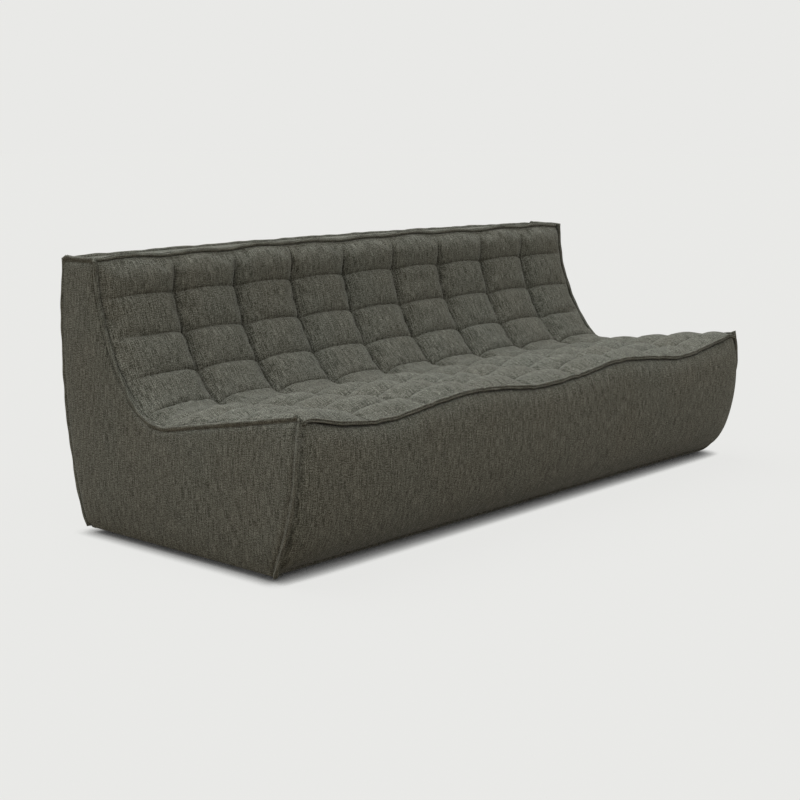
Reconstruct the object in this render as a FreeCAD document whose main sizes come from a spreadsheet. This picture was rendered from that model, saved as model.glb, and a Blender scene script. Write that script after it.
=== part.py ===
"""Three-seater sofa with one tufted seat-and-back pad, millimetres.

X runs along the width, the front faces -Y, +Z is up and the origin is on the floor under the centre.
Every section of the sofa is a closed loop of the same few curves, each set in from the outer skin.
"""
import os
from math import atan2, hypot, pi, sqrt
import FreeCAD
import Part
import Sketcher

doc = FreeCAD.newDocument("sofa")
Vec = FreeCAD.Vector

# Driving sizes
SIZES = {
    "overall_width": 2100, "overall_depth": 910, "overall_height": 760,
    "seat_front_height": 428, "seat_rake": 10.3, "bend_radius": 152,
    "back_curve_radius": 558, "back_top_depth": 156,
    "front_curve_radius": 577, "front_bulge_height": 326,
    "rear_curve_radius": 1740, "rear_bulge_height": 505, "floor_gap": 18,
    "welt_height": 10, "cover_thick": 8, "pad_thick": 40,
    "seat_foam_share": 0.234, "back_foam_thick": 35, "front_foam_thick": 25,
    "side_foam_thick": 22, "top_foam_thick": 20,
    "ply_thick": 18, "inner_board_thick": 5, "outer_board_thick": 4,
    "strap_thick": 2.5, "strap_width": 60, "dust_cover_thick": 1,
    "rib_drop": 35, "opening_edge": 30, "opening_round": 12, "lumbar_share": 0.08,
    "rail_width": 36, "seat_rail_height": 45, "lumbar_rail_height": 42, "lumbar_rail_depth": 54,
    "top_rail_height": 32, "tab_share": 0.5, "tab_root": 20,
    "sole_width": 45, "sole_height": 25, "front_sole_setback": 210, "rear_sole_setback": 132,
    "block_leg": 70, "joint_gap": 0.3,
    "glide_radius": 22, "glide_inset": 60, "glide_sink": 6,
    "screw_radius": 2.4, "screw_head_radius": 4.5, "screw_head_height": 3, "screw_length": 34,
}
sheet = doc.addObject("Spreadsheet::Sheet", "sizes")
for row, (alias, size) in enumerate(SIZES.items(), 1):
    sheet.set(f"A{row}", alias)
    sheet.set(f"B{row}", str(size))
    sheet.setAlias(f"B{row}", alias)
doc.recompute()

# Values that follow from the driving sizes: curve centres in the YZ plane and the seat plane
DERIVED = {
    "front_y": "sizes.front_curve_radius - sizes.overall_depth/2",
    "rear_y": "sizes.overall_depth/2 - sizes.rear_curve_radius",
    "back_y": "sizes.overall_depth/2 - sizes.back_top_depth - sizes.back_curve_radius",
    "rake_sin": "sin(sizes.seat_rake*1deg)",
    "rake_cos": "cos(sizes.seat_rake*1deg)",
    "seat_reach": "sizes.seat_front_height*derived.rake_cos - sizes.overall_depth/2*derived.rake_sin",
    "lead_y": "sizes.bend_radius*derived.rake_sin - sizes.overall_depth/2 - derived.back_y",
    "lead_z": "sizes.bend_radius*derived.rake_cos + sizes.seat_front_height - sizes.overall_height",
    "lead": "derived.lead_y*derived.rake_cos - derived.lead_z*derived.rake_sin",
    "bend_run": "sqrt(derived.lead^2 - derived.lead_y^2 - derived.lead_z^2"
                " + (sizes.back_curve_radius - sizes.bend_radius)^2) - derived.lead",
    "bend_y": "derived.back_y + derived.lead_y + derived.bend_run*derived.rake_cos",
    "bend_z": "sizes.overall_height + derived.lead_z - derived.bend_run*derived.rake_sin",
}
derived = doc.addObject("App::VarSet", "derived")
for name in DERIVED:
    derived.addProperty("App::PropertyFloat", name, "Curves")
for name, formula in DERIVED.items():
    derived.setExpression(name, formula)
    doc.recompute()

# Insets from the outer skin, from the outside in
SKIN = "sizes.welt_height"
LINING = "(sizes.welt_height + sizes.cover_thick)"
PAD_UNDER = "(sizes.welt_height + sizes.pad_thick)"
SEAT_DECK = f"({PAD_UNDER} + sizes.seat_foam_share*sizes.seat_front_height)"
SEAT_RAIL = f"({SEAT_DECK} + sizes.strap_thick)"
SEAT_FRAME = f"({SEAT_RAIL} + sizes.strap_thick)"
BACK_DECK = f"({PAD_UNDER} + sizes.back_foam_thick)"
BACK_FRAME = f"({BACK_DECK} + sizes.inner_board_thick)"
FRONT_BOARD = f"({LINING} + sizes.front_foam_thick)"
FRONT_FRAME = f"({FRONT_BOARD} + sizes.ply_thick)"
REAR_FRAME = f"({LINING} + sizes.outer_board_thick)"

# Heights above the floor
BASE = "sizes.floor_gap"
TOP = "sizes.overall_height"
TOP_SKIN = f"({TOP} - {SKIN})"
TOP_LINING = f"({TOP} - {LINING})"
TOP_FRAME = f"({TOP_LINING} - sizes.top_foam_thick)"
SOLE_TOP = f"({BASE} + sizes.sole_height)"

# Insets from the ends
END_COVER = "sizes.cover_thick"
END_FOAM = f"({END_COVER} + sizes.side_foam_thick)"
END_FRAME = f"({END_FOAM} + sizes.ply_thick)"

# Arcs of the section: centre, radius, which way an inset changes the radius, and the side used
ARCS = {
    "front": ("derived.front_y", "sizes.front_bulge_height", "sizes.front_curve_radius", "-", -1),
    "rear": ("derived.rear_y", "sizes.rear_bulge_height", "sizes.rear_curve_radius", "-", 1),
    "back": ("derived.back_y", "sizes.overall_height", "sizes.back_curve_radius", "+", 1),
    "bend": ("derived.bend_y", "derived.bend_z", "sizes.bend_radius", "+", 1),
}


def arc_depth(kind, inset, height):
    """Formula for the depth along Y of a section arc at a height."""
    cy, cz, radius, sign, side = ARCS[kind]
    towards = "+" if side > 0 else "-"
    return f"({cy} {towards} sqrt(({radius} {sign} {inset})^2 - ({height} - {cz})^2))"


# Places of the rails, and the level where the seat side of the bend passes to the back
# The front sole rail stands at its setback, or close behind a front panel that comes further back
FRONT_SOLE = ("max(sizes.front_sole_setback - sizes.overall_depth/2 - sizes.sole_width; "
              f"{arc_depth('front', FRONT_FRAME, BASE)} + sizes.joint_gap)")
REAR_SOLE = "(sizes.overall_depth/2 - sizes.rear_sole_setback - sizes.sole_width)"
FRONT_RAIL_REAR = f"({FRONT_SOLE} - sizes.rail_width)"
LUMBAR_HEIGHT = (f"(derived.bend_z - (sizes.bend_radius + {PAD_UNDER})*(sizes.lumbar_share"
                 " + (sizes.overall_height - derived.bend_z)/(sizes.back_curve_radius - sizes.bend_radius)))")
LUMBAR_DEPTH = arc_depth("back", BACK_FRAME, LUMBAR_HEIGHT)
REAR_RAIL_FRONT = f"({LUMBAR_DEPTH} - sizes.rail_width)"
LUMBAR_SPLIT = f"(derived.bend_y - (sizes.bend_radius + {PAD_UNDER})*derived.rake_sin)"
GAP = "sizes.joint_gap"

TANGENT = ({"back", "bend"}, {"bend", "seat"})


def value(formula):
    """Number that a formula of sheet cells gives now."""
    result = derived.evalExpression(formula)
    return float(getattr(result, "Value", result))


def as_line(kind, formula):
    """Normal and distance from the origin of a straight curve."""
    if kind == "level":
        return 0, 1, value(formula)
    if kind == "upright":
        return 1, 0, value(formula)
    return derived.rake_sin, derived.rake_cos, derived.seat_reach - value(formula)


def as_arc(kind, inset):
    """Centre, radius and side of an arc set in from the skin."""
    cy, cz, radius, sign, side = ARCS[kind]
    return value(cy), value(cz), value(f"{radius} {sign} {inset}"), side


def meet(first, second):
    """Corner where two neighbouring curves of a loop cross or touch."""
    kinds = {first[0], second[0]}
    if kinds in TANGENT:
        y, z, radius, _ = as_arc(*(first if first[0] == "bend" else second))
        if "seat" in kinds:
            return y - radius * derived.rake_sin, z - radius * derived.rake_cos
        dy, dz = y - derived.back_y, z - value(TOP)
        return y + radius * dy / hypot(dy, dz), z + radius * dz / hypot(dy, dz)
    if first[0] in ARCS:
        first, second = second, first
    ny, nz, reach = as_line(*first)
    if second[0] not in ARCS:
        my, mz, other = as_line(*second)
        det = ny * mz - nz * my
        return (reach * mz - nz * other) / det, (ny * other - reach * my) / det
    cy, cz, radius, side = as_arc(*second)
    away = reach - ny * cy - nz * cz
    half = sqrt(radius * radius - away * away)
    ends = [(cy + ny * away - nz * turn, cz + nz * away + ny * turn) for turn in (half, -half)]
    return max(ends, key=lambda end: side * end[0] - 0.001 * end[1])


def bind(sketch, formula, kind, *where):
    """Dimension of a sketch tied to a formula of sheet cells."""
    index = sketch.addConstraint(Sketcher.Constraint(kind, *where, value(formula)))
    sketch.setExpression(f"Constraints[{index}]", formula)


def new_sketch(body, name, plane, offset="0"):
    """Empty sketch on one of the body's own planes, moved along its normal."""
    sketch = body.newObject("Sketcher::SketchObject", f"{body.Name}_{name}")
    origin = [item for item in body.Origin.OriginFeatures if item.Role == plane][0]
    sketch.AttachmentSupport = [(origin, "")]
    sketch.MapMode = "FlatFace"
    sketch.setExpression("AttachmentOffset.Base.z", offset)
    return sketch


def draw_loop(sketch, *curves):
    """Closed loop of section curves; each runs from the curve before it to the curve after it."""
    count = len(curves)
    base = sketch.GeometryCount
    corners = [meet(curves[i - 1], curves[i]) for i in range(count)]
    ends = []
    for i, (kind, formula) in enumerate(curves):
        start, stop = corners[i], corners[(i + 1) % count]
        if kind not in ARCS:
            sketch.addGeometry(Part.LineSegment(Vec(*start, 0), Vec(*stop, 0)))
            ends.append((1, 2))
            continue
        cy, cz, radius, _ = as_arc(kind, formula)
        turns = [atan2(z - cz, y - cy) for y, z in (start, stop)]
        forward = (turns[1] - turns[0]) % (2 * pi) < pi
        circle = Part.Circle(Vec(cy, cz, 0), Vec(0, 0, 1), radius)
        sketch.addGeometry(Part.ArcOfCircle(circle, *(turns if forward else turns[::-1])))
        ends.append((1, 2) if forward else (2, 1))
    touching = [0] * count
    for i in range(count):
        joint = "Coincident"
        if {curves[i - 1][0], curves[i][0]} in TANGENT:
            joint = "Tangent"
            touching[i - 1] += 1
            touching[i] += 1
        before = (i - 1) % count
        sketch.addConstraint(Sketcher.Constraint(joint, base + before, ends[before][1], base + i, ends[i][0]))
    for i, (kind, formula) in enumerate(curves):
        item = base + i
        if kind == "level":
            sketch.addConstraint(Sketcher.Constraint("Horizontal", item))
            bind(sketch, formula, "DistanceY", -1, 1, item, 1)
        elif kind == "upright":
            sketch.addConstraint(Sketcher.Constraint("Vertical", item))
            bind(sketch, formula, "DistanceX", -1, 1, item, 1)
        elif kind == "seat":
            forward = corners[(i + 1) % count][0] < corners[i][0]
            turn = "pi*1rad - sizes.seat_rake*1deg" if forward else "-sizes.seat_rake*1deg"
            angle = pi - value("sizes.seat_rake*pi/180") if forward else -value("sizes.seat_rake*pi/180")
            index = sketch.addConstraint(Sketcher.Constraint("Angle", item, angle))
            sketch.setExpression(f"Constraints[{index}]", turn)
            bind(sketch, f"derived.seat_reach - {formula}", "Distance", -1, 1, item)
        else:
            cy, cz, radius, sign, _ = ARCS[kind]
            bind(sketch, f"{radius} {sign} {formula}", "Radius", item)
            if kind != "bend" or touching[i] < 2:
                bind(sketch, cz, "DistanceY", -1, 1, item, 3)
            if kind != "bend" or touching[i] < 1:
                bind(sketch, cy, "DistanceX", -1, 1, item, 3)


def draw_polygon(sketch, *points):
    """Closed polygon with every corner tied to formulas."""
    base = sketch.GeometryCount
    count = len(points)
    spots = [Vec(value(across), value(up), 0) for across, up in points]
    for i in range(count):
        sketch.addGeometry(Part.LineSegment(spots[i], spots[(i + 1) % count]))
    for i in range(count):
        sketch.addConstraint(Sketcher.Constraint("Coincident", base + i, 2, base + (i + 1) % count, 1))
    for i, (across, up) in enumerate(points):
        bind(sketch, across, "DistanceX", -1, 1, base + i, 1)
        bind(sketch, up, "DistanceY", -1, 1, base + i, 1)


def draw_discs(sketch, radius, spots):
    """Circles of one radius at spots given by formulas."""
    for across, up in spots:
        middle = Vec(value(across), value(up), 0)
        item = sketch.addGeometry(Part.Circle(middle, Vec(0, 0, 1), value(radius)))
        bind(sketch, radius, "Radius", item)
        bind(sketch, across, "DistanceX", -1, 1, item, 3)
        bind(sketch, up, "DistanceY", -1, 1, item, 3)


def new_body(label):
    """Body of one sub-part."""
    body = doc.addObject("PartDesign::Body", label)
    body.Label = label
    return body


def extrude(body, sketch, length, feature="Pad", reverse=False):
    """Pad or pocket of a sketch along its normal."""
    made = body.newObject(f"PartDesign::{feature}", f"{sketch.Name}_{feature.lower()}")
    made.Profile = sketch
    made.setExpression("Length", length)
    made.Reversed = reverse
    sketch.Visibility = False
    doc.recompute()
    return made


def section_body(label, start, length, *curves):
    """Sub-part with one section all along X, from start over length."""
    body = new_body(label)
    sketch = new_sketch(body, "section", "YZ_Plane", start)
    draw_loop(sketch, *curves)
    extrude(body, sketch, length)
    return body


def full_width(label, inset, *curves):
    """Section that runs from end to end, set in by the same amount at both."""
    start = f"-sizes.overall_width/2 + {inset}"
    return section_body(label, start, f"sizes.overall_width - 2*{inset}", *curves)


def end_start(side, outer, thick):
    """Where along X a slice at one end starts: side 1 is right, -1 is left."""
    if side > 0:
        return f"sizes.overall_width/2 - {outer} - {thick}"
    return f"-sizes.overall_width/2 + {outer}"


def cut_loops(body, name, start, length, *loops):
    """Pocket of one or more section loops through a slice of the body."""
    sketch = new_sketch(body, name, "YZ_Plane", start)
    for loop in loops:
        draw_loop(sketch, *loop)
    return extrude(body, sketch, length, "Pocket", reverse=True)


def repeat_along_x(body, run, count):
    """Linear pattern of the body's last feature over a run along X."""
    pattern = body.newObject("PartDesign::LinearPattern", f"{body.Name}_pattern")
    pattern.Originals = [body.Tip]
    pattern.Direction = ([item for item in body.Origin.OriginFeatures if item.Role == "X_Axis"][0], [""])
    pattern.setExpression("Length", run)
    pattern.Occurrences = count
    body.Tip = pattern


SIDES = (("left", -1), ("right", 1))


def deck_height(depth, inset):
    """Height of the raked seat plane, set in from the skin, at a depth along Y."""
    return f"((derived.seat_reach - {inset} - {depth}*derived.rake_sin)/derived.rake_cos)"


# Where the frames and rails stand
LEFT_END = f"(-sizes.overall_width/2 + {END_FOAM} + sizes.ply_thick/2)"
RIGHT_END = f"(sizes.overall_width/2 - {END_FOAM} - sizes.ply_thick/2)"
LEFT_RIB = "(-sizes.overall_width/6)"
RIGHT_RIB = "(sizes.overall_width/6)"
FRAMES = (LEFT_END, LEFT_RIB, RIGHT_RIB, RIGHT_END)
TAB_MIDDLE = f"(({arc_depth('back', BACK_FRAME, TOP_FRAME)} + {arc_depth('rear', REAR_FRAME, TOP_FRAME)})/2)"
TAB_HALF = f"(({arc_depth('rear', REAR_FRAME, TOP_FRAME)} - {TAB_MIDDLE})*sizes.tab_share)"
FRONT_RAIL_FLOOR = f"({deck_height(FRONT_RAIL_REAR, SEAT_RAIL)} - sizes.seat_rail_height)"
REAR_RAIL_FLOOR = f"({deck_height(LUMBAR_DEPTH, SEAT_RAIL)} - sizes.seat_rail_height)"
LUMBAR_RAIL_TOP = f"({LUMBAR_HEIGHT} + sizes.lumbar_rail_height)"
LUMBAR_RAIL_REAR = f"({LUMBAR_DEPTH} + sizes.lumbar_rail_depth)"
TOP_RAIL_FLOOR = f"({TOP_FRAME} - sizes.top_rail_height)"
nodes = []


# Plywood frames: two ends and two ribs, notched for the rails, with a tab at the top and one opening
RIB_SEAT = f"({SEAT_FRAME} + sizes.rib_drop)"
OPENING_TOP = f"({RIB_SEAT} + sizes.opening_edge)"
OPENING_FLOOR = f"({SOLE_TOP} + sizes.opening_edge)"
OPENING_NOSE = f"({OPENING_FLOOR} + 2.5*sizes.opening_round)"
OPENING_REAR = f"((derived.seat_reach - {OPENING_TOP} - {OPENING_NOSE}*derived.rake_cos)/derived.rake_sin)"
OPENING = (("level", OPENING_FLOOR), ("upright", OPENING_REAR), ("seat", OPENING_TOP),
           ("upright", f"{FRONT_RAIL_REAR} + sizes.opening_edge"))


def edges_along_x(shape, corners):
    """Names of the straight edges along X that pass through the given corners of a section."""
    names = []
    for number, edge in enumerate(shape.Edges, 1):
        ends = [vertex.Point for vertex in edge.Vertexes]
        for y, z in corners:
            if all(hypot(end.y - y, end.z - z) < 0.01 for end in ends):
                names.append(f"Edge{number}")
    return names


def frame(label, middle, seat):
    start = f"{middle} - sizes.ply_thick/2"
    body = section_body(
        label, start, "sizes.ply_thick",
        ("level", BASE), ("rear", REAR_FRAME), ("level", TOP_RAIL_FLOOR), ("back", BACK_FRAME),
        ("upright", LUMBAR_DEPTH), ("seat", seat), ("front", FRONT_FRAME))
    tab = new_sketch(body, "tab", "YZ_Plane", start)
    draw_loop(tab, ("level", f"{TOP_RAIL_FLOOR} - sizes.tab_root"), ("upright", f"{TAB_MIDDLE} + {TAB_HALF}"),
              ("level", TOP_FRAME), ("upright", f"{TAB_MIDDLE} - {TAB_HALF}"))
    extrude(body, tab, "sizes.ply_thick")
    above = f"({SEAT_RAIL} - sizes.rail_width)"
    cut_loops(
        body, "housings", start, "sizes.ply_thick",
        (("level", f"{BASE} - {GAP}"), ("upright", f"{FRONT_SOLE} + sizes.sole_width + {GAP}"),
         ("level", SOLE_TOP), ("upright", f"{FRONT_SOLE} - {GAP}")),
        (("level", f"{BASE} - {GAP}"), ("upright", f"{REAR_SOLE} + sizes.sole_width + {GAP}"),
         ("level", SOLE_TOP), ("upright", f"{REAR_SOLE} - {GAP}")),
        (("level", FRONT_RAIL_FLOOR), ("upright", f"{FRONT_RAIL_REAR} + {GAP}"),
         ("seat", above), ("front", f"({FRONT_FRAME} - {GAP})")),
        (("level", REAR_RAIL_FLOOR), ("upright", LUMBAR_DEPTH),
         ("seat", above), ("upright", f"{REAR_RAIL_FRONT} - {GAP}")),
        (("level", LUMBAR_HEIGHT), ("upright", f"{LUMBAR_RAIL_REAR} + {GAP}"),
         ("level", f"{LUMBAR_RAIL_TOP} + {GAP}"), ("upright", REAR_RAIL_FRONT)))
    opening = cut_loops(body, "opening", start, "sizes.ply_thick", OPENING)
    corners = [meet(OPENING[i - 1], OPENING[i]) for i in range(4)]
    rounded = body.newObject("PartDesign::Fillet", f"{label}_rounded")
    rounded.Base = (opening, edges_along_x(opening.Shape, corners))
    rounded.setExpression("Radius", "sizes.opening_round")
    nodes.append(body)


frame("left_end_frame", LEFT_END, SEAT_FRAME)
frame("left_rib", LEFT_RIB, RIB_SEAT)
frame("right_rib", RIGHT_RIB, RIB_SEAT)
frame("right_end_frame", RIGHT_END, SEAT_FRAME)

# Rails along the width, housed in the frames; the seat rails are planed to the rake of the seat
nodes.append(full_width(
    "front_seat_rail", END_FOAM,
    ("level", FRONT_RAIL_FLOOR), ("upright", FRONT_RAIL_REAR), ("seat", SEAT_RAIL), ("front", FRONT_FRAME)))
nodes.append(full_width(
    "rear_seat_rail", END_FOAM,
    ("level", REAR_RAIL_FLOOR), ("upright", f"{LUMBAR_DEPTH} - {GAP}"),
    ("seat", SEAT_RAIL), ("upright", REAR_RAIL_FRONT)))
nodes.append(full_width(
    "lumbar_rail", END_FOAM,
    ("level", LUMBAR_HEIGHT), ("upright", LUMBAR_RAIL_REAR),
    ("level", LUMBAR_RAIL_TOP), ("back", BACK_FRAME)))

# Top rail, slotted for the tabs of the frames
top_rail = full_width(
    "top_rail", END_FOAM,
    ("level", TOP_RAIL_FLOOR), ("rear", REAR_FRAME), ("level", TOP_FRAME), ("back", BACK_FRAME))
slots = new_sketch(top_rail, "slots", "XY_Plane", TOP_FRAME)
for middle in FRAMES:
    near, far = f"{middle} - sizes.ply_thick/2 - {GAP}", f"{middle} + sizes.ply_thick/2 + {GAP}"
    front, rear = f"{TAB_MIDDLE} - {TAB_HALF} - {GAP}", f"{TAB_MIDDLE} + {TAB_HALF} + {GAP}"
    draw_polygon(slots, (near, front), (far, front), (far, rear), (near, rear))
extrude(top_rail, slots, "sizes.top_rail_height", "Pocket")
nodes.append(top_rail)

# Sole rails under the frames, with a pilot hole for each glide screw
GLIDE_REACH = f"(sizes.overall_width/2 - {END_FRAME} - sizes.glide_inset)"
GLIDE_SPOTS = (f"-{GLIDE_REACH}", "0", GLIDE_REACH)
SOLES = (("front", FRONT_SOLE, f"({FRONT_SOLE} + sizes.sole_width/2)"),
         ("rear", REAR_SOLE, f"({REAR_SOLE} + sizes.sole_width/2)"))
for place, front, middle in SOLES:
    sole = full_width(
        f"{place}_sole_rail", END_FOAM,
        ("level", BASE), ("upright", f"{front} + sizes.sole_width"), ("level", SOLE_TOP), ("upright", front))
    pilots = new_sketch(sole, "pilots", "XY_Plane", BASE)
    draw_discs(pilots, "sizes.screw_radius", [(spot, middle) for spot in GLIDE_SPOTS])
    extrude(sole, pilots, f"sizes.glide_sink + sizes.screw_length - {BASE}", "Pocket", reverse=True)
    nodes.append(sole)

# Boards: front panel, bent inner back and bent outer back
nodes.append(full_width(
    "front_panel", END_FOAM,
    ("level", BASE), ("front", FRONT_FRAME), ("seat", SEAT_RAIL), ("front", FRONT_BOARD)))
nodes.append(full_width(
    "inner_back_board", END_FOAM,
    ("level", LUMBAR_HEIGHT), ("back", BACK_FRAME), ("level", TOP_FRAME), ("back", BACK_DECK)))
nodes.append(full_width(
    "outer_back_board", END_FOAM,
    ("level", BASE), ("rear", LINING), ("level", TOP_FRAME), ("rear", REAR_FRAME)))

# Glue blocks in the corners of the end frames and the sole rails
for name, side in SIDES:
    for place, front, _ in SOLES:
        block = new_body(f"corner_block_{place}_{name}")
        sketch = new_sketch(block, "triangle", "XZ_Plane", f"-({front} + sizes.sole_width)")
        face = f"{side}*(sizes.overall_width/2 - {END_FRAME})"
        draw_polygon(sketch, (face, SOLE_TOP), (f"{face} - {side}*sizes.block_leg", SOLE_TOP),
                     (face, f"{SOLE_TOP} + sizes.block_leg"))
        extrude(block, sketch, "sizes.sole_width")
        nodes.append(block)

# Elastic straps: sixteen from front to rear over the seat rails, three along the width below them
straps = section_body(
    "seat_straps", "-15*sizes.overall_width/36 - sizes.strap_width/2", "sizes.strap_width",
    ("seat", SEAT_RAIL), ("upright", f"{LUMBAR_DEPTH} - {GAP}"), ("seat", SEAT_DECK), ("front", FRONT_BOARD))
straps.AllowCompound = True
repeat_along_x(straps, "15*sizes.overall_width/18", 16)
nodes.append(straps)
cross = new_body("cross_straps")
cross.AllowCompound = True
sketch = new_sketch(cross, "section", "YZ_Plane", f"-sizes.overall_width/2 + {END_FOAM}")
for part in (1, 2, 3):
    middle = f"({FRONT_RAIL_REAR} + {part}*({REAR_RAIL_FRONT} - {FRONT_RAIL_REAR})/4)"
    draw_loop(sketch, ("seat", SEAT_FRAME), ("upright", f"{middle} + sizes.strap_width/2"),
              ("seat", SEAT_RAIL), ("upright", f"{middle} - sizes.strap_width/2"))
extrude(cross, sketch, f"sizes.overall_width - 2*{END_FOAM}")
nodes.append(cross)

# Foam: one seat block for each place, then the lumbar wedge, back, top, front and ends
for place, name in ((-1, "left"), (0, "centre"), (1, "right")):
    third = f"(sizes.overall_width - 2*{END_FOAM})/3"
    nodes.append(section_body(
        f"seat_foam_{name}", f"{place - 0.5}*{third}", third,
        ("seat", SEAT_DECK), ("upright", LUMBAR_SPLIT), ("seat", PAD_UNDER), ("front", LINING)))
nodes.append(full_width(
    "lumbar_foam", END_FOAM,
    ("seat", SEAT_DECK), ("upright", f"{LUMBAR_DEPTH} - {GAP}"), ("level", LUMBAR_HEIGHT),
    ("bend", PAD_UNDER), ("upright", LUMBAR_SPLIT)))
nodes.append(full_width(
    "back_foam", END_FOAM,
    ("level", LUMBAR_HEIGHT), ("back", BACK_DECK), ("level", TOP_FRAME),
    ("back", PAD_UNDER), ("bend", PAD_UNDER)))
nodes.append(full_width(
    "top_foam", END_FOAM,
    ("level", TOP_FRAME), ("rear", LINING), ("level", TOP_LINING), ("back", PAD_UNDER)))
nodes.append(full_width(
    "front_foam", END_FOAM,
    ("level", BASE), ("front", FRONT_BOARD), ("seat", SEAT_DECK), ("front", LINING)))
for name, side in SIDES:
    nodes.append(section_body(
        f"{name}_side_foam", end_start(side, END_COVER, "sizes.side_foam_thick"), "sizes.side_foam_thick",
        ("level", BASE), ("rear", LINING), ("level", TOP_LINING), ("back", PAD_UNDER), ("bend", PAD_UNDER),
        ("seat", PAD_UNDER), ("front", LINING)))

# Tufted pad over the back and the seat in one piece
nodes.append(full_width(
    "tufted_pad", END_COVER,
    ("level", TOP_LINING), ("back", SKIN), ("bend", SKIN), ("seat", SKIN), ("front", LINING),
    ("seat", PAD_UNDER), ("bend", PAD_UNDER), ("back", PAD_UNDER)))

# Cover panels
nodes.append(full_width(
    "front_cover", END_COVER,
    ("level", BASE), ("front", LINING), ("seat", SKIN), ("front", SKIN)))
nodes.append(full_width(
    "rear_cover", END_COVER,
    ("level", BASE), ("rear", SKIN), ("level", TOP_LINING), ("rear", LINING)))
nodes.append(full_width(
    "top_cover", END_COVER,
    ("level", TOP_LINING), ("rear", SKIN), ("level", TOP_SKIN), ("back", SKIN)))
for name, side in SIDES:
    nodes.append(section_body(
        f"{name}_side_cover", end_start(side, "0", "sizes.cover_thick"), "sizes.cover_thick",
        ("level", BASE), ("rear", SKIN), ("level", TOP_SKIN), ("back", SKIN), ("bend", SKIN),
        ("seat", SKIN), ("front", SKIN)))

# Flat welts standing on the seams
for name, side in SIDES:
    nodes.append(section_body(
        f"{name}_side_welt", end_start(side, "0", "sizes.cover_thick"), "sizes.cover_thick",
        ("level", BASE), ("rear", "0"), ("level", TOP), ("back", "0"), ("bend", "0"), ("seat", "0"),
        ("front", "0"), ("level", BASE), ("front", SKIN), ("seat", SKIN), ("bend", SKIN), ("back", SKIN),
        ("level", TOP_SKIN), ("rear", SKIN)))
nodes.append(full_width(
    "front_edge_welt", END_COVER, ("seat", SKIN), ("front", LINING), ("seat", "0"), ("front", SKIN)))
nodes.append(full_width(
    "top_front_welt", END_COVER, ("level", TOP_SKIN), ("back", LINING), ("level", TOP), ("back", SKIN)))
nodes.append(full_width(
    "top_rear_welt", END_COVER, ("level", TOP_SKIN), ("rear", SKIN), ("level", TOP), ("rear", LINING)))

# Dust cover under the frame, holed for the glide screws
dust = new_body("dust_cover")
sketch = new_sketch(dust, "sheet", "XY_Plane", f"{BASE} - sizes.dust_cover_thick")
reach = f"(sizes.overall_width/2 - {END_FOAM})"
front, rear = arc_depth("front", FRONT_BOARD, BASE), arc_depth("rear", LINING, BASE)
draw_polygon(sketch, (f"-{reach}", front), (reach, front), (reach, rear), (f"-{reach}", rear))
for _, _, middle in SOLES:
    draw_discs(sketch, f"sizes.screw_radius + {GAP}", [(spot, middle) for spot in GLIDE_SPOTS])
extrude(dust, sketch, "sizes.dust_cover_thick")
nodes.append(dust)

# Turned plastic glides in two rows of three, each with a screw up into its sole rail
GLIDE_TOP = f"({BASE} - sizes.dust_cover_thick)"
HEAD_SEAT = "(sizes.glide_sink + sizes.screw_head_height)"
HEAD_BORE = f"sizes.screw_head_radius + {GAP}"
SHANK_BORE = f"sizes.screw_radius + {GAP}"
GLIDE = ((HEAD_BORE, "0"), ("0.9*sizes.glide_radius", "0"), ("sizes.glide_radius", "0.1*sizes.glide_radius"),
         ("sizes.glide_radius", f"0.7*{GLIDE_TOP}"), ("0.8*sizes.glide_radius", GLIDE_TOP),
         (SHANK_BORE, GLIDE_TOP), (SHANK_BORE, HEAD_SEAT), (HEAD_BORE, HEAD_SEAT))
SCREW = (("0", "sizes.glide_sink"), ("sizes.screw_head_radius", "sizes.glide_sink"),
         ("sizes.screw_head_radius", HEAD_SEAT), ("sizes.screw_radius", HEAD_SEAT),
         ("sizes.screw_radius", "sizes.glide_sink + sizes.screw_length"),
         ("0", "sizes.glide_sink + sizes.screw_length"))


def turned_row(label, middle, profile):
    """Three turned pieces in a row along X: one revolved profile, patterned from end to end."""
    body = new_body(label)
    body.AllowCompound = True
    sketch = new_sketch(body, "profile", "XZ_Plane")
    draw_polygon(sketch, *profile)
    turned = body.newObject("PartDesign::Revolution", f"{label}_turned")
    turned.Profile = sketch
    turned.ReferenceAxis = (sketch, ["V_Axis"])
    turned.Angle = 360
    doc.recompute()
    repeat_along_x(body, f"2*{GLIDE_REACH}", len(GLIDE_SPOTS))
    body.setExpression("Placement.Base.x", GLIDE_SPOTS[0])
    body.setExpression("Placement.Base.y", middle)
    nodes.append(body)


for place, _, middle in SOLES:
    turned_row(f"{place}_glides", middle, GLIDE)
    turned_row(f"{place}_glide_screws", middle, SCREW)

# Check everything, then write one file for each node
doc.recompute()
for item in doc.Objects:
    if "Invalid" in item.State or "Error" in item.State:
        raise RuntimeError(f"{item.Name}: {item.State}")
for node in nodes:
    if node.Shape.isNull() or not node.Shape.isValid() or not node.Shape.Solids:
        raise RuntimeError(f"{node.Label} has no valid solid")
os.makedirs("parts", exist_ok=True)
for node in nodes:
    node.Shape.exportStep(f"parts/{node.Label}.step")
print(len(nodes), "nodes written")
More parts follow.
